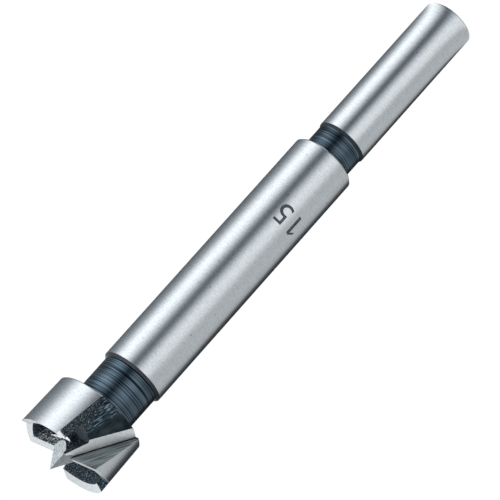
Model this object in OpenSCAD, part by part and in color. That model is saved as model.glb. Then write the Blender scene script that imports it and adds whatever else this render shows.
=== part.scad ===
// Two-lipped boring bit with a plain shank, turned and milled from one bar of tool steel.
// It stands on the flat end of its shank, with its axis along Z and its point up.
// Depths in the head are measured down from the edge of its rim.

/* [Shank] */
// Diameter that the chuck grips
shank_d = 8; // [6:0.1:9]
// Length of the shank
shank_len = 26.1; // [15:0.1:60]
// Diameter of the neck between shank and body
upper_neck_d = 7.6; // [4:0.1:7.6]
// Length of the neck between shank and body
upper_neck_len = 3.8; // [1:0.1:10]

/* [Body] */
// Diameter of the ground body
body_d = 10; // [9.2:0.1:12]
// Length of the ground body
body_len = 43.9; // [10:0.1:100]
// Diameter of the neck behind the head
lower_neck_d = 9.1; // [7:0.1:9.2]
// Length of the neck behind the head
lower_neck_len = 6.7; // [2:0.1:15]
// Width of the small bright chamfers
chamfer = 0.3; // [0.1:0.05:0.5]
// Width of the dark shoulders where a neck meets the next length
shoulder = 0.4; // [0.1:0.05:0.6]

/* [Head] */
// Cutting diameter
head_d = 15; // [14:0.1:20]
// Length of the head along the axis
head_len = 8.45; // [7.5:0.05:12]
// How much smaller the back of the head is in diameter, as a relief
head_relief = 0.4; // [0:0.05:0.8]
// Thickness of the rim beside the pockets
rim_wall = 1.3; // [0.8:0.05:1.6]
// Depth of the bevel that sharpens the rim from inside
rim_bevel = 0.45; // [0.2:0.05:0.6]
// Angle behind a lip at which the rim steps up to its full height
rim_start = 51; // [40:1:55]
// How far the lips lie below the edge of the rim
lip_drop = 0.2; // [0.1:0.05:0.5]
// Clearance angle behind a lip
flank_angle = 14; // [8:0.5:18]
// Hook angle of the ground face in front of a lip
rake_angle = 19; // [10:0.5:24]
// Width of the ground land behind a lip
land_w = 1.2; // [0.8:0.05:1.6]
// Depth of the pockets below the clearance faces
pocket_depth = 2.5; // [1.9:0.05:3.2]
// Depth of the rough shelf beside a land, below the edge of the rim
shelf_depth = 1.9; // [1.2:0.05:2]
// Radius of the round end of that shelf
shelf_round = 0.65; // [0.4:0.05:0.9]

/* [Point] */
// How far the point stands out beyond the rim
point_len = 2.55; // [2.2:0.05:3]
// Diameter of the round stem that the point is ground on
stem_d = 3.5; // [3:0.1:4]
// Angle between the axis and an edge of the four-sided point
point_angle = 30.5; // [28:0.5:35]
// Turn of the edges of the point from the lips
point_turn = 39; // [0:1:90]

/* [Gullets] */
// Slope away from the axis of the smooth ramp beside the face of a lip
ramp_slope = 24.5; // [20:0.5:28]
// Slope away from the axis of the milled ramp beside the end of a rim
mill_slope = 20.9; // [16:0.5:25]
// Distance from the axis at which the ground notch in front of a lip starts
notch_start = 1.3; // [1:0.05:1.8]
// Slope of the floor of that notch away from the axis
notch_slope = 33.6; // [28:0.1:40]

/* [Hidden] */
$fn = 96;
eps = 0.01;
// Edge of the blocks that stand for half of space
reach = 60;
head_r = head_d / 2;
head_back_r = (head_d - head_relief) / 2;
stem_r = stem_d / 2;
pocket_r = head_r - rim_wall;
// Heights along the axis
shank_top = shank_len;
body_bottom = shank_top + upper_neck_len;
body_top = body_bottom + body_len;
head_bottom = body_top + lower_neck_len;
rim_z = head_bottom + head_len;
tip_z = rim_z + point_len;
lip_z = rim_z - lip_drop;
shelf_z = rim_z - shelf_depth;
// Middle of the round end of a shelf, and the direction that its long side faces
shelf_end = [-0.8, -2.1, 0];
shelf_turn = -69.6;
// Place on the back edge of the head where the two ramps of a gullet meet
ridge_turn = 23.4;
ridge_at = [head_back_r * cos(ridge_turn), head_back_r * sin(ridge_turn), head_bottom];
// Place on the back edge of the head where the trailing end of a rim stands
rim_end = 49.5;
rim_end_at = [head_back_r * cos(rim_end), head_back_r * sin(rim_end), head_bottom];
// Directions in which the walls face: turn about the axis and lean towards the tip
ramp_turn = 9.6;
mill_turn = 38.2;
end_turn = 2.3;
end_lean = 6.3;
notch_turn = -27.3;

steel = "#b9bdbf";

// Puts a copy of the children on each side of the axis
module both() {
    for (half = [0, 180])
        rotate([0, 0, half]) children();
}

// Everything in front of a plane through a place, which faces turn degrees about the axis
// and leans lean degrees towards the tip
module in_front(place, turn, lean) {
    translate(place)
        rotate([0, 90 - lean, turn])
            translate([-reach / 2, -reach / 2, 0])
                cube(reach);
}

// The bar as it leaves the lathe, with a round stem for the point
module turned_blank() {
    shank_r = shank_d / 2;
    upper_r = upper_neck_d / 2;
    body_r = body_d / 2;
    lower_r = lower_neck_d / 2;
    rotate_extrude()
        polygon([
            [0, 0],
            [shank_r - chamfer, 0],
            [shank_r, chamfer],
            [shank_r, shank_top - shoulder],
            [shank_r - shoulder / 2, shank_top],
            [upper_r, shank_top],
            [upper_r, body_bottom],
            [body_r - chamfer, body_bottom],
            [body_r, body_bottom + chamfer],
            [body_r, body_top - shoulder],
            [body_r - shoulder, body_top],
            [lower_r, body_top],
            [lower_r, head_bottom],
            [head_back_r - chamfer / 2, head_bottom],
            [head_back_r, head_bottom + chamfer / 2],
            [head_r, rim_z],
            [stem_r, rim_z],
            [stem_r, tip_z],
            [0, tip_z]
        ]);
}

// Bevel that sharpens the rim of one wing from inside, from the step to its trailing end;
// it starts ahead of the step, where the clearance lies deeper
module rim_bevel_cut() {
    intersection() {
        rotate_extrude()
            polygon([
                [pocket_r - eps, rim_z + eps],
                [head_r, rim_z + eps],
                [head_r, rim_z],
                [pocket_r - eps, rim_z - rim_bevel]
            ]);
        in_front([0, 0, lip_z], -90 - rim_start / 2, 0);
        in_front([0, 0, lip_z], -90, 0);
    }
}

// Space round the stem of the point, which the cuts behind a lip leave standing
module ring_space() {
    difference() {
        translate([0, 0, head_bottom])
            cylinder(r = reach / 2, h = reach / 2);
        cylinder(r = stem_r, h = reach * 2);
    }
}

// Clearance behind the lip on +X, up to the step where the rim regains its full height
module flank_cut() {
    intersection() {
        in_front([0, 0, lip_z], -90, 90 - flank_angle);
        in_front([0, 0, lip_z], 90 - rim_start, 0);
        in_front([0, 0, lip_z], 0, 0);
        ring_space();
    }
}

// Shelf left in the pocket behind the lip on +X, which ends round beside the stem
module shelf() {
    shelf_h = shelf_z - head_bottom;
    translate(shelf_end)
        translate([0, 0, head_bottom]) {
            cylinder(r = shelf_round, h = shelf_h);
            difference() {
                translate([0, -reach / 2, 0])
                    cube([reach, reach, shelf_h]);
                in_front([shelf_round * cos(shelf_turn), shelf_round * sin(shelf_turn), 0],
                    shelf_turn, 0);
            }
        }
}

// Pocket behind the lip on +X, open at the trailing end of its wing
module pocket_cut() {
    difference() {
        intersection() {
            in_front([0, 0, lip_z - pocket_depth], -90, 90 - flank_angle);
            in_front([0, -land_w, lip_z], -90, 0);
            translate([0, 0, head_bottom])
                cylinder(r = pocket_r, h = reach);
        }
        cylinder(r = stem_r, h = tip_z);
        shelf();
    }
}

// Gullet in front of the lip on +X, through which the chips leave: a notch ground along the
// face of the lip, and two ramps that meet in a ridge and run out at the back of the head
module gullet_cut() {
    intersection() {
        in_front([0, 0, lip_z], 90, -rake_angle);
        union() {
            in_front([notch_start, 0, lip_z], notch_turn, notch_slope);
            intersection() {
                in_front(rim_end_at, end_turn, end_lean);
                union() {
                    in_front(ridge_at, ramp_turn, ramp_slope);
                    in_front(ridge_at, mill_turn, mill_slope);
                }
            }
        }
    }
}

// What is ground off the stem to leave the four-sided point
module point_cut() {
    face_lean = atan(tan(point_angle) * cos(45));
    intersection() {
        translate([0, 0, head_bottom])
            cylinder(r = stem_r + eps, h = reach / 2);
        union() {
            for (face = [0:3])
                in_front([0, 0, tip_z], point_turn + 45 + 90 * face, face_lean);
        }
    }
}

module boring_bit() {
    color(steel)
        difference() {
            turned_blank();
            point_cut();
            both() {
                rim_bevel_cut();
                flank_cut();
                pocket_cut();
                gullet_cut();
            }
        }
}

boring_bit();
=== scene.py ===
# Flat-bottom boring bit, standing on the end of its shank.
# It is modelled as it is made: turned from a bar, then milled, ground and blackened,
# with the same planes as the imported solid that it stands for, and stamped with its size.
import math
import bpy
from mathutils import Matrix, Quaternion, Vector


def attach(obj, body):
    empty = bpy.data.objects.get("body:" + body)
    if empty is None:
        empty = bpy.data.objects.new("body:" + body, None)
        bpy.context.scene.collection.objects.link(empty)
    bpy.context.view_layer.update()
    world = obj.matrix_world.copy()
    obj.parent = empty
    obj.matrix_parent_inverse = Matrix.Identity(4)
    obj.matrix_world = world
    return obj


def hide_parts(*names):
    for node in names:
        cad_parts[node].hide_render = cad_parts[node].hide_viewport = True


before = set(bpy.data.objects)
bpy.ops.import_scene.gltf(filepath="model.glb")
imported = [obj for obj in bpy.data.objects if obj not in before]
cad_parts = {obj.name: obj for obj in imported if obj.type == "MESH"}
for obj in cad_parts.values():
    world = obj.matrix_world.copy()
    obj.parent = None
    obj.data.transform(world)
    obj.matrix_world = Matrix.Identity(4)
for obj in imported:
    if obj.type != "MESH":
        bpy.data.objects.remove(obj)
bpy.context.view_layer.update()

mm = 0.001


def toLinear(hexColour):
    # sRGB hex to the linear values that the shaders take
    channels = [int(hexColour[i:i + 2], 16) / 255 for i in (1, 3, 5)]
    linear = [c / 12.92 if c <= 0.04045 else ((c + 0.055) / 1.055) ** 2.4 for c in channels]
    return (*linear, 1.0)


def addNode(tree, kind, settings=None, links=None):
    # settings go to properties or input sockets, links map an input to an output socket
    made = tree.nodes.new(kind)
    for key, value in (settings or {}).items():
        if isinstance(key, str) and hasattr(made, key):
            setattr(made, key, value)
        else:
            made.inputs[key].default_value = value
    for key, source in (links or {}).items():
        tree.links.new(source, made.inputs[key])
    return made


def newMaterial(name):
    material = bpy.data.materials.new(name)
    material.use_nodes = True
    material.node_tree.nodes.clear()
    return material, material.node_tree


def selectOnly(piece):
    bpy.ops.object.select_all(action="DESELECT")
    piece.select_set(True)
    bpy.context.view_layer.objects.active = piece


def setRamp(ramp, stops):
    # stops are position and sRGB hex, in rising order
    elements = ramp.color_ramp.elements
    while len(elements) < len(stops):
        elements.new(1.0)
    for element, (position, colour) in zip(elements, stops):
        element.position = position
        element.color = toLinear(colour)


# What the finishes are made of; sizes of marks in mm
finish = {
    "groundDark": "#cad0d4",
    "groundLight": "#dde2e5",
    "groundRoughness": 0.27,
    "groundStretch": 0.86,
    "ringWidth": 0.12,
    "blackDeep": "#0d151a",
    "blackPale": "#647886",
    "speckSpacing": 2.6,
    "millTurn": (0.0, -24.6, 4.8),
    "rakeTurn": (0.0, -33.7, -31.1),
    "notchFacing": (0.740, -0.382, 0.553),
    "notchLevel": 50.07,
    # height from which the rim end takes its painted highlight
    "wearAndHighlightFrom": 88.25,
}


def addMarks(tree, place, around, along, detail, turn=(0, 0, 0)):
    # noise whose grains are around mm wide and along mm long; along the axis, or turned
    stretch = addNode(tree, "ShaderNodeMapping",
                      {"vector_type": "TEXTURE",
                       "Rotation": [math.radians(angle) for angle in turn],
                       "Scale": (around * mm, around * mm, along * mm)},
                      {"Vector": place})
    return addNode(tree, "ShaderNodeTexNoise", {"Scale": 1.0, "Detail": detail},
                   {"Vector": stretch.outputs["Vector"]})


def addPairPlace(tree, place):
    # the place as seen from the nearer lip, so that both wings carry the same marks
    axes = addNode(tree, "ShaderNodeSeparateXYZ", links={"Vector": place})
    side = addNode(tree, "ShaderNodeMath", {"operation": "SIGN"}, {0: axes.outputs["X"]})
    x = addNode(tree, "ShaderNodeMath", {"operation": "MULTIPLY"},
                {0: axes.outputs["X"], 1: side.outputs[0]})
    y = addNode(tree, "ShaderNodeMath", {"operation": "MULTIPLY"},
                {0: axes.outputs["Y"], 1: side.outputs[0]})
    return addNode(tree, "ShaderNodeCombineXYZ",
                   links={"X": x.outputs[0], "Y": y.outputs[0], "Z": axes.outputs["Z"]})


def makeGroundSteel():
    # Tool steel, ground between centres: the marks run round the bar, so they stretch the
    # reflections lengthwise into straight bright and dark bands; a few specks of handling
    material, tree = newMaterial("toolSteelCylinderGround")
    place = addNode(tree, "ShaderNodeTexCoord")
    marks = addMarks(tree, place.outputs["Object"], 0.9, 0.1, 4.0)
    tint = addNode(tree, "ShaderNodeValToRGB", links={"Fac": marks.outputs["Fac"]})
    setRamp(tint, [(0.25, finish["groundDark"]), (0.75, finish["groundLight"])])
    specks = addNode(tree, "ShaderNodeTexVoronoi", {"Scale": 1 / (finish["speckSpacing"] * mm)},
                     {"Vector": place.outputs["Object"]})
    speckTint = addNode(tree, "ShaderNodeValToRGB", links={"Fac": specks.outputs["Distance"]})
    setRamp(speckTint, [(0.03, "#8a9094"), (0.075, "#ffffff")])
    specked = addNode(tree, "ShaderNodeMix", {"data_type": "RGBA", "blend_type": "MULTIPLY", 0: 0.6},
                      {6: tint.outputs["Color"], 7: speckTint.outputs["Color"]})
    grain = addMarks(tree, place.outputs["Object"], 0.28, 0.28, 2.0)
    grainTint = addNode(tree, "ShaderNodeValToRGB", links={"Fac": grain.outputs["Fac"]})
    setRamp(grainTint, [(0.32, "#f1f3f4"), (0.55, "#ffffff")])
    colour = addNode(tree, "ShaderNodeMix", {"data_type": "RGBA", "blend_type": "MULTIPLY", 0: 1.0},
                     {6: specked.outputs[2], 7: grainTint.outputs["Color"]})
    bump = addNode(tree, "ShaderNodeBump", {"Strength": 0.07, "Distance": 0.00001},
                   {"Height": marks.outputs["Fac"]})
    tangent = addNode(tree, "ShaderNodeTangent", {"direction_type": "RADIAL", "axis": "Z"})
    steel = addNode(tree, "ShaderNodeBsdfPrincipled",
                    {"Metallic": 1.0, "Roughness": finish["groundRoughness"],
                     "Anisotropic": finish["groundStretch"], "Anisotropic Rotation": 0.25},
                    {"Base Color": colour.outputs[2], "Normal": bump.outputs["Normal"],
                     "Tangent": tangent.outputs["Tangent"]})
    addNode(tree, "ShaderNodeOutputMaterial", links={"Surface": steel.outputs["BSDF"]})
    return material


def makeBlackTurned():
    # Black oxide on turned steel: bluish black, with rings that catch the light
    material, tree = newMaterial("toolSteelTurnedBlackOxide")
    place = addNode(tree, "ShaderNodeTexCoord")
    rings = addMarks(tree, place.outputs["Object"], 14.0, finish["ringWidth"], 2.0)
    tint = addNode(tree, "ShaderNodeValToRGB", links={"Fac": rings.outputs["Fac"]})
    setRamp(tint, [(0.38, finish["blackDeep"]), (0.64, finish["blackPale"])])
    bump = addNode(tree, "ShaderNodeBump", {"Strength": 0.5, "Distance": 0.00006},
                   {"Height": rings.outputs["Fac"]})
    tangent = addNode(tree, "ShaderNodeTangent", {"direction_type": "RADIAL", "axis": "Z"})
    steel = addNode(tree, "ShaderNodeBsdfPrincipled",
                    {"Metallic": 1.0, "Roughness": 0.19, "Anisotropic": 0.5,
                     "Anisotropic Rotation": 0.25},
                    {"Base Color": tint.outputs["Color"], "Normal": bump.outputs["Normal"],
                     "Tangent": tangent.outputs["Tangent"]})
    addNode(tree, "ShaderNodeOutputMaterial", links={"Surface": steel.outputs["BSDF"]})
    return material


def makeBlackMilled():
    # Black oxide on milled steel: bluish black streaks down the ramps, dull and uneven
    material, tree = newMaterial("toolSteelMilledBlackOxide")
    place = addNode(tree, "ShaderNodeTexCoord")
    pair = addPairPlace(tree, place.outputs["Object"])
    streaks = addMarks(tree, pair.outputs["Vector"], 0.13, 0.9, 3.0, finish["millTurn"])
    tint = addNode(tree, "ShaderNodeValToRGB", links={"Fac": streaks.outputs["Fac"]})
    setRamp(tint, [(0.4, "#141b20"), (0.54, "#33414b"), (0.68, "#8599a6")])
    bump = addNode(tree, "ShaderNodeBump", {"Strength": 0.5, "Distance": 0.00004},
                   {"Height": streaks.outputs["Fac"]})
    steel = addNode(tree, "ShaderNodeBsdfPrincipled", {"Metallic": 1.0, "Roughness": 0.42},
                    {"Base Color": tint.outputs["Color"], "Normal": bump.outputs["Normal"]})
    addNode(tree, "ShaderNodeOutputMaterial", links={"Surface": steel.outputs["BSDF"]})
    return material


def makeBlackSmooth():
    # Black oxide on a finely ground face: nearly black, with only a faint sheen
    material, tree = newMaterial("toolSteelSmoothBlackOxide")
    place = addNode(tree, "ShaderNodeTexCoord")
    cloud = addMarks(tree, place.outputs["Object"], 1.2, 2.0, 3.0)
    tint = addNode(tree, "ShaderNodeValToRGB", links={"Fac": cloud.outputs["Fac"]})
    setRamp(tint, [(0.3, "#182025"), (0.7, "#323d44")])
    steel = addNode(tree, "ShaderNodeBsdfPrincipled", {"Metallic": 1.0, "Roughness": 0.4},
                    {"Base Color": tint.outputs["Color"]})
    addNode(tree, "ShaderNodeOutputMaterial", links={"Surface": steel.outputs["BSDF"]})
    return material


def makeBlackRough(name, dark, middle, pale, metal):
    # Black oxide on rough milled steel: pitted, dark with bright specks; its paler copy inside a rim
    # is painted light, for the light that the walls hold
    material, tree = newMaterial(name)
    place = addNode(tree, "ShaderNodeTexCoord")
    pits = addMarks(tree, place.outputs["Object"], 0.16, 0.16, 2.0)
    tint = addNode(tree, "ShaderNodeValToRGB", links={"Fac": pits.outputs["Fac"]})
    setRamp(tint, [(0.42, dark), (0.56, middle), (0.7, pale)])
    bump = addNode(tree, "ShaderNodeBump", {"Strength": 0.9, "Distance": 0.0001},
                   {"Height": pits.outputs["Fac"]})
    steel = addNode(tree, "ShaderNodeBsdfPrincipled", {"Metallic": metal, "Roughness": 0.42},
                    {"Base Color": tint.outputs["Color"], "Normal": bump.outputs["Normal"]})
    addNode(tree, "ShaderNodeOutputMaterial", links={"Surface": steel.outputs["BSDF"]})
    return material


def makeRimEnd():
    # The wall that ends a rim: black and rough, and nearly white near the cutting edge, a painted
    # highlight on steel worn bright there
    material, tree = newMaterial("toolSteelRimEndWearAndHighlight")
    place = addNode(tree, "ShaderNodeTexCoord")
    pits = addMarks(tree, place.outputs["Object"], 0.16, 0.16, 2.0)
    tint = addNode(tree, "ShaderNodeValToRGB", links={"Fac": pits.outputs["Fac"]})
    setRamp(tint, [(0.42, "#0f1519"), (0.56, "#28333b"), (0.7, "#8294a0")])
    # painted highlight and wear: nearly white above the given height, with an uneven edge
    axes = addNode(tree, "ShaderNodeSeparateXYZ", links={"Vector": place.outputs["Object"]})
    above = addNode(tree, "ShaderNodeMath",
                    {"operation": "MULTIPLY_ADD", 1: 1 / mm, 2: -finish["wearAndHighlightFrom"]},
                    {0: axes.outputs["Z"]})
    uneven = addNode(tree, "ShaderNodeMath", {"operation": "ADD"},
                     {0: above.outputs[0], 1: pits.outputs["Fac"]})
    wearAndHighlight = addNode(tree, "ShaderNodeValToRGB", links={"Fac": uneven.outputs[0]})
    setRamp(wearAndHighlight, [(0.45, "#000000"), (0.6, "#ffffff")])
    colour = addNode(tree, "ShaderNodeMix", {"data_type": "RGBA", 7: toLinear("#f4f7f9")},
                     {0: wearAndHighlight.outputs["Color"], 6: tint.outputs["Color"]})
    bump = addNode(tree, "ShaderNodeBump", {"Strength": 0.7, "Distance": 0.0001},
                   {"Height": pits.outputs["Fac"]})
    steel = addNode(tree, "ShaderNodeBsdfPrincipled", {"Metallic": 0.6, "Roughness": 0.42},
                    {"Base Color": colour.outputs[2], "Normal": bump.outputs["Normal"]})
    addNode(tree, "ShaderNodeOutputMaterial", links={"Surface": steel.outputs["BSDF"]})
    return material


def makePocketSteel(name, stops, metal):
    # Rough milled steel with black oxide: inside a pocket its specks take the given paler colours,
    # painted light for what the walls hold, up to nearly white painted highlights; black where the
    # pocket opens beside a gullet
    material, tree = newMaterial(name)
    place = addNode(tree, "ShaderNodeTexCoord")
    pits = addMarks(tree, place.outputs["Object"], 0.16, 0.16, 2.0)
    black = addNode(tree, "ShaderNodeValToRGB", links={"Fac": pits.outputs["Fac"]})
    setRamp(black, [(0.42, "#0f1519"), (0.56, "#232d34"), (0.7, "#5a6972")])
    # paler specks of painted light, on the pocket's side of the lip
    paintedLightSpecks = addNode(tree, "ShaderNodeValToRGB", links={"Fac": pits.outputs["Fac"]})
    setRamp(paintedLightSpecks, stops)
    axes = addNode(tree, "ShaderNodeSeparateXYZ", links={"Vector": place.outputs["Object"]})
    across = addNode(tree, "ShaderNodeMath", {"operation": "MULTIPLY"},
                     {0: axes.outputs["X"], 1: axes.outputs["Y"]})
    # the side of the lip that takes the painted light
    inPocket = addNode(tree, "ShaderNodeMath", {"operation": "LESS_THAN", 1: -0.3 * mm * mm},
                       {0: across.outputs[0]})
    colour = addNode(tree, "ShaderNodeMix", {"data_type": "RGBA"},
                     {0: inPocket.outputs[0], 6: black.outputs["Color"],
                      7: paintedLightSpecks.outputs["Color"]})
    bump = addNode(tree, "ShaderNodeBump", {"Strength": 0.85, "Distance": 0.0001},
                   {"Height": pits.outputs["Fac"]})
    steel = addNode(tree, "ShaderNodeBsdfPrincipled", {"Metallic": metal, "Roughness": 0.42},
                    {"Base Color": colour.outputs[2], "Normal": bump.outputs["Normal"]})
    addNode(tree, "ShaderNodeOutputMaterial", links={"Surface": steel.outputs["BSDF"]})
    return material


def makeShelfTornHighlight():
    # The same steel torn by the end of the cutter, where the oxide came off, and nearly white as a
    # painted highlight
    material, tree = newMaterial("toolSteelTornPaintedHighlight")
    place = addNode(tree, "ShaderNodeTexCoord")
    tornAndHighlight = addMarks(tree, place.outputs["Object"], 0.3, 0.3, 3.0)
    # nearly white: a painted highlight on the torn steel
    tint = addNode(tree, "ShaderNodeValToRGB", links={"Fac": tornAndHighlight.outputs["Fac"]})
    setRamp(tint, [(0.3, "#6b7881"), (0.4, "#d3dce1"), (0.5, "#f8fafb")])
    bump = addNode(tree, "ShaderNodeBump", {"Strength": 0.6, "Distance": 0.00008},
                   {"Height": tornAndHighlight.outputs["Fac"]})
    steel = addNode(tree, "ShaderNodeBsdfPrincipled", {"Metallic": 0.3, "Roughness": 0.4},
                    {"Base Color": tint.outputs["Color"], "Normal": bump.outputs["Normal"]})
    addNode(tree, "ShaderNodeOutputMaterial", links={"Surface": steel.outputs["BSDF"]})
    return material


def makeFaceGround(name, dark, light, metal):
    # The same steel ground with a flat wheel: even grey with straight fine scratches; bright on
    # the lands, darker on the point, and matt in the floor of a notch
    material, tree = newMaterial(name)
    place = addNode(tree, "ShaderNodeTexCoord")
    scratches = addMarks(tree, place.outputs["Object"], 0.15, 0.8, 3.0)
    tint = addNode(tree, "ShaderNodeValToRGB", links={"Fac": scratches.outputs["Fac"]})
    setRamp(tint, [(0.3, dark), (0.7, light)])
    bump = addNode(tree, "ShaderNodeBump", {"Strength": 0.15, "Distance": 0.00001},
                   {"Height": scratches.outputs["Fac"]})
    steel = addNode(tree, "ShaderNodeBsdfPrincipled", {"Metallic": metal, "Roughness": 0.36},
                    {"Base Color": tint.outputs["Color"], "Normal": bump.outputs["Normal"]})
    addNode(tree, "ShaderNodeOutputMaterial", links={"Surface": steel.outputs["BSDF"]})
    return material


def makeRakeGround():
    # The face of a lip, ground along its notch: grey with long streaks, and darker in the corner
    # beside the notch, a painted reflection of the dark gullet there
    material, tree = newMaterial("toolSteelRakeGround")
    place = addNode(tree, "ShaderNodeTexCoord")
    pair = addPairPlace(tree, place.outputs["Object"])
    streaks = addMarks(tree, pair.outputs["Vector"], 0.22, 4.0, 3.0, finish["rakeTurn"])
    tint = addNode(tree, "ShaderNodeValToRGB", links={"Fac": streaks.outputs["Fac"]})
    setRamp(tint, [(0.36, "#5f6669"), (0.5, "#9fa6a9"), (0.66, "#c3c9cb")])
    across = addNode(tree, "ShaderNodeVectorMath",
                     {"operation": "DOT_PRODUCT", 1: [c / mm for c in finish["notchFacing"]]},
                     {0: pair.outputs["Vector"]})
    beside = addNode(tree, "ShaderNodeMath", {"operation": "SUBTRACT", 1: finish["notchLevel"]},
                     {0: across.outputs["Value"]})
    uneven = addNode(tree, "ShaderNodeMath", {"operation": "MULTIPLY_ADD", 1: 0.5},
                     {0: streaks.outputs["Fac"], 2: beside.outputs[0]})
    # painted reflection: dark along the notch, fading out away from it with the streaks
    corner = addNode(tree, "ShaderNodeValToRGB", links={"Fac": uneven.outputs[0]})
    setRamp(corner, [(0.5, "#1d2225"), (0.62, "#ffffff")])
    colour = addNode(tree, "ShaderNodeMix", {"data_type": "RGBA", "blend_type": "MULTIPLY", 0: 1.0})
    tree.links.new(tint.outputs["Color"], colour.inputs[6])
    tree.links.new(corner.outputs["Color"], colour.inputs[7])
    bump = addNode(tree, "ShaderNodeBump", {"Strength": 0.3, "Distance": 0.00002},
                   {"Height": streaks.outputs["Fac"]})
    steel = addNode(tree, "ShaderNodeBsdfPrincipled", {"Metallic": 1.0, "Roughness": 0.34},
                    {"Base Color": colour.outputs[2], "Normal": bump.outputs["Normal"]})
    addNode(tree, "ShaderNodeOutputMaterial", links={"Surface": steel.outputs["BSDF"]})
    return material


def makeDullBlack(name, dark, light):
    # Oxide that no wheel reached: flat black on the shoulders, and grey in the stamped number
    material, tree = newMaterial(name)
    place = addNode(tree, "ShaderNodeTexCoord")
    grain = addMarks(tree, place.outputs["Object"], 0.2, 0.2, 2.0)
    tint = addNode(tree, "ShaderNodeValToRGB", links={"Fac": grain.outputs["Fac"]})
    setRamp(tint, [(0.3, dark), (0.7, light)])
    steel = addNode(tree, "ShaderNodeBsdfPrincipled", {"Metallic": 0.5, "Roughness": 0.5},
                    {"Base Color": tint.outputs["Color"]})
    addNode(tree, "ShaderNodeOutputMaterial", links={"Surface": steel.outputs["BSDF"]})
    return material


finishes = {
    "ground": makeGroundSteel(),
    "turnedBlack": makeBlackTurned(),
    "milledBlack": makeBlackMilled(),
    "smoothBlack": makeBlackSmooth(),
    "roughBlack": makeBlackRough("toolSteelRoughBlackOxide", "#0f1519", "#28333b", "#8294a0", 0.9),
    # the rim's inside: a paler copy of the rough oxide, painted light
    "rimInside": makeBlackRough("toolSteelRimInsidePaintedLight", "#161e24", "#35434d", "#8c9daa", 0.35),
    # the pocket floor: paler specks of painted light
    "pocketFloor": makePocketSteel("toolSteelPocketFloorPaintedLight", [
        (0.42, "#161e24"), (0.56, "#35434d"), (0.7, "#8c9daa")], 0.35),
    # the rim's end: a painted highlight near the cutting edge
    "rimEnd": makeRimEnd(),
    # the land wall: nearly white specks, painted highlights
    "landWall": makePocketSteel("toolSteelLandWallPaintedHighlights", [
        (0.42, "#171f25"), (0.54, "#4a5963"), (0.64, "#f0f4f6")], 0.6),
    # torn steel with a painted highlight
    "tornAndHighlight": makeShelfTornHighlight(),
    "face": makeFaceGround("toolSteelLandGround", "#a8aeb1", "#d6dadc", 1.0),
    "point": makeFaceGround("toolSteelPointGround", "#848b8e", "#bcc2c4", 1.0),
    "notch": makeFaceGround("toolSteelNotchGround", "#a9afb1", "#d9dddf", 0.25),
    "rake": makeRakeGround(),
    "dullBlack": makeDullBlack("toolSteelDullOxide", "#0d1318", "#222d35"),
    "stamped": makeDullBlack("toolSteelStampedMark", "#262f35", "#515c63"),
}
print("finishes made")

# The bar as it is turned; mm and degrees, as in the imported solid
bar = {
    "segments": 192,
    "shankRadius": 4.0,
    "shankTop": 26.1,
    "upperNeckRadius": 3.8,
    "bodyBottom": 29.9,
    "bodyRadius": 5.0,
    "bodyTop": 73.8,
    "lowerNeckRadius": 4.55,
    "headBottom": 80.5,
    "headBackRadius": 7.3,
    "headRadius": 7.495,
    "rim": 88.95,
    "stemRadius": 1.75,
    "stockTop": 92.5,
    "chamfer": 0.3,
    "shoulder": 0.4,
    "ringPitch": 0.31,
    "ringDepth": 0.026,
    "stampFoot": 39.4,
    "stampTop": 44.2,
}


def turnTo(radius, height, state):
    # turns the bar on from the last radius and height to the next
    bpy.ops.mesh.extrude_region_move(
        TRANSFORM_OT_translate={"value": (0, 0, (height - state["height"]) * mm)})
    grow = radius / state["radius"]
    bpy.ops.transform.resize(value=(grow, grow, 1), center_override=(0, 0, height * mm))
    state["radius"] = radius
    state["height"] = height


def turnRings(radius, start, end, state):
    # shallow rounded grooves side by side, left by the turning tool
    count = round((end - start) / bar["ringPitch"])
    pitch = (end - start) / count
    for ring in range(count):
        foot = start + ring * pitch
        turnTo(radius - bar["ringDepth"], foot + pitch * 0.3, state)
        turnTo(radius - bar["ringDepth"], foot + pitch * 0.6, state)
        turnTo(radius, foot + pitch, state)


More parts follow.
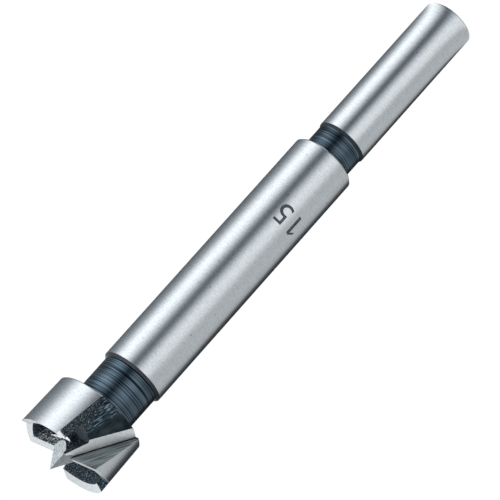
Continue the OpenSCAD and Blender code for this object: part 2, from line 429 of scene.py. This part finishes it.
def turnBar():
    state = {"radius": bar["shankRadius"] - bar["chamfer"], "height": 0}
    bpy.ops.object.select_all(action="DESELECT")
    bpy.ops.mesh.primitive_circle_add(vertices=bar["segments"], radius=state["radius"] * mm,
                                      fill_type="NGON")
    piece = bpy.context.object
    piece.name = "bit"
    bpy.ops.object.mode_set(mode="EDIT")
    bpy.ops.mesh.select_all(action="SELECT")
    half = bar["shoulder"] / 2
    turnTo(bar["shankRadius"], bar["chamfer"], state)
    turnTo(bar["shankRadius"], bar["shankTop"] - bar["shoulder"], state)
    turnTo(bar["shankRadius"] - half, bar["shankTop"], state)
    turnTo(bar["upperNeckRadius"], bar["shankTop"] + 0.001, state)
    turnRings(bar["upperNeckRadius"], bar["shankTop"] + 0.001, bar["bodyBottom"] - 0.001, state)
    turnTo(bar["bodyRadius"] - bar["chamfer"], bar["bodyBottom"], state)
    turnTo(bar["bodyRadius"], bar["bodyBottom"] + bar["chamfer"], state)
    turnTo(bar["bodyRadius"], bar["stampFoot"], state)
    turnTo(bar["bodyRadius"], bar["stampTop"], state)
    turnTo(bar["bodyRadius"], bar["bodyTop"] - bar["shoulder"], state)
    turnTo(bar["bodyRadius"] - bar["shoulder"], bar["bodyTop"], state)
    turnTo(bar["lowerNeckRadius"], bar["bodyTop"] + 0.001, state)
    turnRings(bar["lowerNeckRadius"], bar["bodyTop"] + 0.001, bar["headBottom"] - 0.001, state)
    turnTo(bar["headBackRadius"] - bar["chamfer"] / 2, bar["headBottom"], state)
    turnTo(bar["headBackRadius"], bar["headBottom"] + bar["chamfer"] / 2, state)
    turnTo(bar["headRadius"], bar["rim"], state)
    turnTo(bar["stemRadius"], bar["rim"] + 0.0001, state)
    turnTo(bar["stemRadius"], bar["stockTop"], state)
    bpy.ops.mesh.select_all(action="SELECT")
    bpy.ops.mesh.remove_doubles(threshold=0.0000005)
    bpy.ops.mesh.normals_make_consistent(inside=False)
    bpy.ops.object.mode_set(mode="OBJECT")
    for material in finishes.values():
        piece.data.materials.append(material)
    for face in piece.data.polygons:
        face.material_index = list(finishes).index(barFinish(face.center.z / mm))
    return piece


def barFinish(height):
    # the necks and their shoulders are black, the rest is ground bright, the foot less so
    if height < bar["chamfer"]:
        return "point"
    for foot, end in ((bar["shankTop"], bar["bodyBottom"] - 0.0001),
                      (bar["bodyTop"], bar["headBottom"] + 0.0001)):
        if foot - bar["shoulder"] < height <= foot:
            return "dullBlack"
        if foot < height < end:
            return "turnedBlack"
    return "ground"


bit = turnBar()
print("bar turned")

# How the head is milled and ground; depths in mm below the rim, angles in degrees
head = {
    "reach": 60,
    "tip": 91.5,
    "skin": 0.005,
    "lipDrop": 0.2,
    "flankAngle": 14,
    "rakeAngle": 19,
    "rimStart": 51,
    "rimWall": 1.3,
    "rimBevel": 0.45,
    "landWidth": 1.2,
    "pocketDepth": 2.5,
    "shelfDepth": 1.9,
    "shelfRound": 0.65,
    "shelfEnd": (-0.8, -2.1),
    "shelfTurn": -69.6,
    "ridgeTurn": 23.4,
    "rimEnd": 49.5,
    "rampTurn": 9.6,
    "rampSlope": 24.5,
    "millTurn": 38.2,
    "millSlope": 20.9,
    "endTurn": 2.3,
    "endLean": 6.3,
    "notchStart": 1.3,
    "notchTurn": -27.3,
    "notchSlope": 33.6,
    "pointTurn": 39,
    "pointAngle": 30.5,
}
lipHeight = bar["rim"] - head["lipDrop"]


def aim(turn, lean):
    # the direction that is turned about the axis and leans towards the tip
    t = math.radians(turn)
    n = math.radians(lean)
    return Vector((math.cos(t) * math.cos(n), math.sin(t) * math.cos(n), math.sin(n)))


def carve(cutter, place, turn, lean, surface):
    # keeps what lies in front of a plane, and closes the cutter there with that finish
    selectOnly(cutter)
    bpy.ops.object.mode_set(mode="EDIT")
    bpy.ops.mesh.select_all(action="SELECT")
    bpy.ops.mesh.bisect(plane_co=Vector(place) * mm, plane_no=aim(turn, lean),
                        use_fill=True, clear_inner=True, threshold=0.0000001)
    bpy.ops.object.mode_set(mode="OBJECT")
    index = list(finishes).index(surface)
    for face in cutter.data.polygons:
        if face.normal.dot(aim(turn, lean)) < -0.9999:
            face.material_index = index


def startBlock(surface, radius=None, grow=1.0):
    # a block over the head, or a round one on the axis, whose faces all leave one finish
    size = head["reach"] * grow * mm
    bpy.ops.object.select_all(action="DESELECT")
    if radius:
        bpy.ops.mesh.primitive_cylinder_add(vertices=bar["segments"], radius=radius * mm,
                                            depth=size, location=(0, 0, bar["headBottom"] * mm))
    else:
        bpy.ops.mesh.primitive_cube_add(size=size, location=(0, 0, bar["rim"] * mm))
    cutter = bpy.context.object
    bpy.ops.object.transform_apply(location=True, rotation=False, scale=False)
    for material in finishes.values():
        cutter.data.materials.append(material)
    for face in cutter.data.polygons:
        face.material_index = list(finishes).index(surface)
    return cutter


def combine(piece, other, operation):
    selectOnly(piece)
    change = piece.modifiers.new("cut", "BOOLEAN")
    change.operation = operation
    change.solver = "EXACT"
    change.material_mode = "TRANSFER"
    change.object = other
    bpy.ops.object.modifier_apply(modifier=change.name)
    bpy.data.objects.remove(other)


def cutBoth(cutter):
    # the same cut behind or in front of each lip
    selectOnly(cutter)
    bpy.ops.object.duplicate()
    twin = bpy.context.object
    twin.data = twin.data.copy()
    twin.rotation_euler = (0, 0, math.pi)
    bpy.ops.object.transform_apply(location=False, rotation=True, scale=False)
    combine(bit, cutter, "DIFFERENCE")
    combine(bit, twin, "DIFFERENCE")


def placeOnBack(turn):
    angle = math.radians(turn)
    return (bar["headBackRadius"] * math.cos(angle), bar["headBackRadius"] * math.sin(angle),
            bar["headBottom"])


def grindPoint():
    # the four faces, and with them what stands of the stock above the tip
    faceLean = math.degrees(math.atan(math.tan(math.radians(head["pointAngle"]))
                                      * math.cos(math.radians(45))))
    pyramid = startBlock("point")
    for corner in range(4):
        turn = head["pointTurn"] + 45 + 90 * corner
        carve(pyramid, (0, 0, head["tip"]), turn + 180, -faceLean, "point")
    cutter = startBlock("point", radius=bar["stemRadius"] + head["skin"])
    carve(cutter, (0, 0, bar["headBottom"] + 2), 0, 90, "point")
    combine(cutter, pyramid, "DIFFERENCE")
    combine(bit, cutter, "DIFFERENCE")


def bevelRim():
    slope = head["rimBevel"] / head["rimWall"]
    inner = 0.2
    foot = bar["rim"] - head["rimBevel"] - inner * slope
    narrow = bar["headRadius"] - head["rimWall"] - inner
    tall = 1.5
    bpy.ops.object.select_all(action="DESELECT")
    bpy.ops.mesh.primitive_cone_add(vertices=bar["segments"], radius1=narrow * mm,
                                    radius2=(narrow + tall / slope) * mm, depth=tall * mm,
                                    location=(0, 0, (foot + tall / 2) * mm))
    cutter = bpy.context.object
    bpy.ops.object.transform_apply(location=True, rotation=False, scale=False)
    for material in finishes.values():
        cutter.data.materials.append(material)
    for face in cutter.data.polygons:
        face.material_index = list(finishes).index("face")
    carve(cutter, (0, 0, lipHeight), -90 - head["rimStart"] / 2, 0, "face")
    carve(cutter, (0, 0, lipHeight), -90, 0, "face")
    combine(cutter, startBlock("face", radius=bar["stemRadius"] * 2), "DIFFERENCE")
    cutBoth(cutter)


def grindFlank():
    cutter = startBlock("face")
    carve(cutter, (0, 0, lipHeight), -90, 90 - head["flankAngle"], "face")
    carve(cutter, (0, 0, lipHeight), 90 - head["rimStart"], 0, "milledBlack")
    carve(cutter, (0, 0, lipHeight), 0, 0, "face")
    combine(cutter, startBlock("face", radius=bar["stemRadius"] - head["skin"]), "DIFFERENCE")
    cutBoth(cutter)


def millPocket():
    narrow = bar["headRadius"] - head["rimWall"]
    cutter = startBlock("rimInside", radius=narrow)
    carve(cutter, (0, 0, lipHeight - head["pocketDepth"]), -90, 90 - head["flankAngle"],
          "pocketFloor")
    carve(cutter, (0, -head["landWidth"], lipHeight), -90, 0, "landWall")
    combine(cutter, startBlock("roughBlack", radius=bar["stemRadius"] - head["skin"], grow=1.1),
            "DIFFERENCE")
    shelfTop = bar["rim"] - head["shelfDepth"]
    for rounded in (True, False):
        x, y = head["shelfEnd"]
        if rounded:
            shelf = startBlock("roughBlack", radius=head["shelfRound"], grow=1.2)
            shelf.location = (x * mm, y * mm, 0)
            selectOnly(shelf)
            bpy.ops.object.transform_apply(location=True, rotation=False, scale=False)
        else:
            shelf = startBlock("roughBlack", grow=1.2)
            carve(shelf, (x, 0, 0), 0, 0, "roughBlack")
            side = aim(head["shelfTurn"], 0) * head["shelfRound"]
            carve(shelf, (x + side.x, y + side.y, 0), head["shelfTurn"] + 180, 0, "roughBlack")
        # the shelf's top: torn steel with a painted highlight
        carve(shelf, (0, 0, shelfTop), 0, -90, "tornAndHighlight")
        combine(cutter, shelf, "DIFFERENCE")
    cutBoth(cutter)


def millGullet():
    # the ramps run out round a wedge that stays, beside the wall that ends the other rim;
    # the notch lies beside them, and the face of the lip bounds all of it
    ridge = placeOnBack(head["ridgeTurn"])
    wedge = startBlock("milledBlack", grow=1.2)
    carve(wedge, ridge, head["millTurn"] + 180, -head["millSlope"], "milledBlack")
    carve(wedge, ridge, head["rampTurn"] + 180, -head["rampSlope"], "smoothBlack")
    cutter = startBlock("roughBlack")
    carve(cutter, placeOnBack(head["rimEnd"]), head["endTurn"], head["endLean"], "rimEnd")
    combine(cutter, wedge, "DIFFERENCE")
    notch = startBlock("notch", grow=1.1)
    carve(notch, (head["notchStart"], 0, lipHeight), head["notchTurn"], head["notchSlope"],
          "notch")
    combine(cutter, notch, "UNION")
    carve(cutter, (0, 0, lipHeight), 90, -head["rakeAngle"], "rake")
    cutBoth(cutter)


grindPoint()
bevelRim()
grindFlank()
millPocket()
millGullet()
print("head milled and ground")

# The size number, stamped round the body with its top towards the head; mm and degrees
stamp = {
    "text": "15",
    "height": 3.25,
    "width": 3.5,
    "middle": 41.75,
    "azimuth": 21.9,
    "flagLength": 1.25,
    "flagWidth": 0.28,
    "flagMiddle": (-2.0, 1.17),
    "flagTurn": 45.9,
    "depth": 0.08,
}


def stampNumber():
    bpy.ops.object.select_all(action="DESELECT")
    bpy.ops.object.text_add()
    number = bpy.context.object
    number.data.body = stamp["text"]
    number.data.align_x = "CENTER"
    number.data.align_y = "CENTER"
    number.data.resolution_u = 4
    bpy.ops.object.convert(target="MESH")
    number = bpy.context.object
    for material in finishes.values():
        number.data.materials.append(material)
    for face in number.data.polygons:
        face.material_index = list(finishes).index("stamped")
    bpy.ops.object.mode_set(mode="EDIT")
    bpy.ops.mesh.select_all(action="SELECT")
    bpy.ops.mesh.remove_doubles(threshold=0.0001)
    bpy.ops.mesh.extrude_region_move(TRANSFORM_OT_translate={"value": (0, 0, 1)})
    bpy.ops.mesh.select_all(action="SELECT")
    bpy.ops.mesh.normals_make_consistent(inside=False)
    bpy.ops.object.mode_set(mode="OBJECT")
    corners = [Vector(corner) for corner in number.bound_box]
    low = Vector([min(corner[axis] for corner in corners) for axis in range(3)])
    size = Vector([max(corner[axis] for corner in corners) for axis in range(3)]) - low
    middle = low + size / 2
    number.location = -middle
    bpy.ops.object.transform_apply(location=True, rotation=False, scale=False)
    number.scale = (stamp["width"] * mm / size.x, stamp["height"] * mm / size.y, 2 * mm)
    bpy.ops.object.transform_apply(location=False, rotation=False, scale=True)
    flag = startBlock("stamped")
    flag.scale = (stamp["flagLength"] / head["reach"], stamp["flagWidth"] / head["reach"], 0.02)
    flag.location = (0, 0, -bar["rim"] * 0.02 * mm)
    bpy.ops.object.transform_apply(location=True, rotation=False, scale=True)
    flag.rotation_euler = (0, 0, math.radians(stamp["flagTurn"]))
    flag.location = (stamp["flagMiddle"][0] * mm, stamp["flagMiddle"][1] * mm, 0)
    bpy.ops.object.transform_apply(location=True, rotation=True, scale=False)
    combine(number, flag, "UNION")
    turn = math.radians(stamp["azimuth"])
    number.rotation_euler = (math.pi / 2, 0, turn + math.pi / 2)
    number.location = (bar["bodyRadius"] * math.cos(turn) * mm,
                       bar["bodyRadius"] * math.sin(turn) * mm, stamp["middle"] * mm)
    bpy.ops.object.transform_apply(location=True, rotation=True, scale=False)
    core = startBlock("stamped", radius=bar["bodyRadius"] - stamp["depth"], grow=2)
    combine(number, core, "DIFFERENCE")
    combine(bit, number, "DIFFERENCE")


stampNumber()
print("size stamped")


def finishBit():
    selectOnly(bit)
    bpy.ops.object.mode_set(mode="EDIT")
    bpy.ops.mesh.select_all(action="SELECT")
    bpy.ops.mesh.remove_doubles(threshold=0.000002)
    bpy.ops.mesh.normals_make_consistent(inside=False)
    bpy.ops.object.mode_set(mode="OBJECT")
    bpy.ops.object.shade_smooth_by_angle(angle=math.radians(22))
    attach(bit, "root")
    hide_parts("boring_bit")


finishBit()
print("bit finished,", len(bit.data.polygons), "faces")

# The studio round the bit: the levels that the steel mirrors in the table top, and in the
# ring of soft lights and flags above it, by azimuth in degrees
studio = {
    "tableLevels": [(0, 0.88), (22, 1.20), (38, 0.84), (55, 0.06), (72, 0.12), (93, 1.28),
                    (112, 1.65), (125, 1.35), (146, 0.36), (178, 0.15), (225, 0.02),
                    (270, 0.02), (284, 0.62), (318, 0.68), (346, 0.52), (360, 0.90)],
    "ringLevels": [(0, 0.80), (22, 0.98), (38, 0.75), (55, 0.16), (72, 0.30), (93, 1.20),
                   (112, 1.50), (127, 1.40), (150, 0.65), (175, 0.70), (200, 1.30),
                   (226, 1.30), (238, 0.05), (270, 0.05), (284, 0.60), (318, 0.50),
                   (360, 0.80)],
    "brightest": 1.65,
    "coolSide": (30, 220),
    "cool": 0.014,
    "plain": 0.003,
    "wallRadius": 0.7,
    "wallHeight": 0.7,
    "floorSize": 8.0,
    "whiteShare": 0.92,
}


def addStudioLevels(tree, levels):
    # the level of the lights and flags by azimuth round the bit
    place = addNode(tree, "ShaderNodeTexCoord")
    axes = addNode(tree, "ShaderNodeSeparateXYZ", links={"Vector": place.outputs["Object"]})
    azimuth = addNode(tree, "ShaderNodeMath", {"operation": "ARCTAN2"},
                      {0: axes.outputs["Y"], 1: axes.outputs["X"]})
    turn = addNode(tree, "ShaderNodeMath", {"operation": "DIVIDE", 1: 2 * math.pi},
                   {0: azimuth.outputs[0]})
    full = addNode(tree, "ShaderNodeMath", {"operation": "FRACT"}, {0: turn.outputs[0]})
    ramp = addNode(tree, "ShaderNodeValToRGB", links={"Fac": full.outputs[0]})
    ramp.color_ramp.interpolation = "B_SPLINE"
    elements = ramp.color_ramp.elements
    while len(elements) < len(levels):
        elements.new(1.0)
    coolStart, coolEnd = studio["coolSide"]
    for element, (angle, level) in zip(elements, levels):
        element.position = angle / 360
        grey = level / studio["brightest"]
        blue = studio["cool"] if coolStart < angle < coolEnd else studio["plain"]
        element.color = (max(0.0, grey - blue), grey, grey + blue, 1.0)
    return ramp


def makeFloor():
    # a wide white table top: the camera sees it white and it keeps the shadow, and the steel
    # mirrors in it the lights and flags of the studio
    bpy.ops.object.select_all(action="DESELECT")
    bpy.ops.mesh.primitive_plane_add(size=studio["floorSize"], location=(0, 0, 0))
    floor = bpy.context.object
    floor.name = "tableTop"
    material, tree = newMaterial("tableTopMattWhite")
    matt = addNode(tree, "ShaderNodeBsdfDiffuse", {"Color": toLinear("#f6f6f6")})
    white = addNode(tree, "ShaderNodeEmission", {"Color": toLinear("#ffffff"), "Strength": 1.0})
    levels = addStudioLevels(tree, studio["tableLevels"])
    mirrored = addNode(tree, "ShaderNodeEmission", {"Strength": studio["brightest"]},
                       {"Color": levels.outputs["Color"]})
    path = addNode(tree, "ShaderNodeLightPath")
    share = addNode(tree, "ShaderNodeMath", {"operation": "MULTIPLY", 1: studio["whiteShare"]},
                    {0: path.outputs["Is Camera Ray"]})
    seen = addNode(tree, "ShaderNodeMixShader", links={
        "Fac": share.outputs[0], 1: matt.outputs["BSDF"], 2: white.outputs["Emission"]})
    steelSees = addNode(tree, "ShaderNodeMixShader", links={
        "Fac": path.outputs["Is Glossy Ray"], 1: seen.outputs["Shader"],
        2: mirrored.outputs["Emission"]})
    addNode(tree, "ShaderNodeOutputMaterial", links={"Surface": steelSees.outputs["Shader"]})
    floor.data.materials.append(material)


def makeStudioWall():
    # the ring of soft lights and flags itself, which only the steel sees
    bpy.ops.object.select_all(action="DESELECT")
    bpy.ops.mesh.primitive_cylinder_add(vertices=128, radius=studio["wallRadius"],
                                        depth=studio["wallHeight"], end_fill_type="NOTHING",
                                        location=(0, 0, studio["wallHeight"] / 2))
    wall = bpy.context.object
    wall.name = "studioWall"
    material, tree = newMaterial("studioWallSoftLights")
    levels = addStudioLevels(tree, studio["ringLevels"])
    glow = addNode(tree, "ShaderNodeEmission", {"Strength": studio["brightest"]},
                   {"Color": levels.outputs["Color"]})
    addNode(tree, "ShaderNodeOutputMaterial", links={"Surface": glow.outputs["Emission"]})
    wall.data.materials.append(material)
    wall.visible_camera = False
    wall.visible_diffuse = False
    wall.visible_shadow = False
    wall.visible_transmission = False


def setWorld():
    # plain pale light all round, which the camera and the steel see as white paper
    world = bpy.data.worlds.new("studio")
    bpy.context.scene.world = world
    world.use_nodes = True
    tree = world.node_tree
    tree.nodes.clear()
    light = addNode(tree, "ShaderNodeBackground", {"Color": toLinear("#f2f4f5"), "Strength": 0.95})
    paper = addNode(tree, "ShaderNodeBackground", {"Color": toLinear("#ffffff"), "Strength": 1.0})
    path = addNode(tree, "ShaderNodeLightPath")
    either = addNode(tree, "ShaderNodeMath", {"operation": "MAXIMUM"},
                     {0: path.outputs["Is Camera Ray"], 1: path.outputs["Is Glossy Ray"]})
    seen = addNode(tree, "ShaderNodeMixShader", links={
        "Fac": either.outputs[0], 1: light.outputs["Background"],
        2: paper.outputs["Background"]})
    addNode(tree, "ShaderNodeOutputWorld", links={"Surface": seen.outputs["Shader"]})


def addSoftbox(name, azimuth, elevation, distance, width, height, watts):
    data = bpy.data.lights.new(name, "AREA")
    data.shape = "RECTANGLE"
    data.size = width
    data.size_y = height
    data.energy = watts
    lamp = bpy.data.objects.new(name, data)
    bpy.context.collection.objects.link(lamp)
    a = math.radians(azimuth)
    e = math.radians(elevation)
    out = Vector((math.cos(a) * math.cos(e), math.sin(a) * math.cos(e), math.sin(e)))
    middle = Vector((0, 0, head["tip"] / 2 * mm))
    lamp.location = middle + out * distance
    lamp.rotation_euler = (-out).to_track_quat("-Z", "Y").to_euler()


# The photograph's view: where the camera stands, where it aims and how far it is rolled
view = {
    "azimuth": 39.0,
    "elevation": 19.4,
    "roll": -138.3,
    "distance": 535.3,
    "aim": (0.3, -0.4, 47.5),
    "lens": 268.3,
    "sensor": 36.0,
}


def addCamera():
    data = bpy.data.cameras.new("camera")
    data.lens = view["lens"]
    data.sensor_width = view["sensor"]
    camera = bpy.data.objects.new("camera", data)
    bpy.context.collection.objects.link(camera)
    a = math.radians(view["azimuth"])
    e = math.radians(view["elevation"])
    out = Vector((math.cos(a) * math.cos(e), math.sin(a) * math.cos(e), math.sin(e)))
    camera.location = (Vector(view["aim"]) + out * view["distance"]) * mm
    level = (-out).to_track_quat("-Z", "Y")
    camera.rotation_mode = "QUATERNION"
    camera.rotation_quaternion = level @ Quaternion((0, 0, 1), math.radians(view["roll"]))
    bpy.context.scene.camera = camera


makeFloor()
makeStudioWall()
setWorld()
addSoftbox("keyLamp", 110, 55, 0.6, 0.4, 0.4, 2.5)
addSoftbox("fillLamp", 0, 60, 0.6, 0.4, 0.4, 1.5)
addCamera()
bpy.context.scene.view_settings.view_transform = "Standard"
print("studio set")
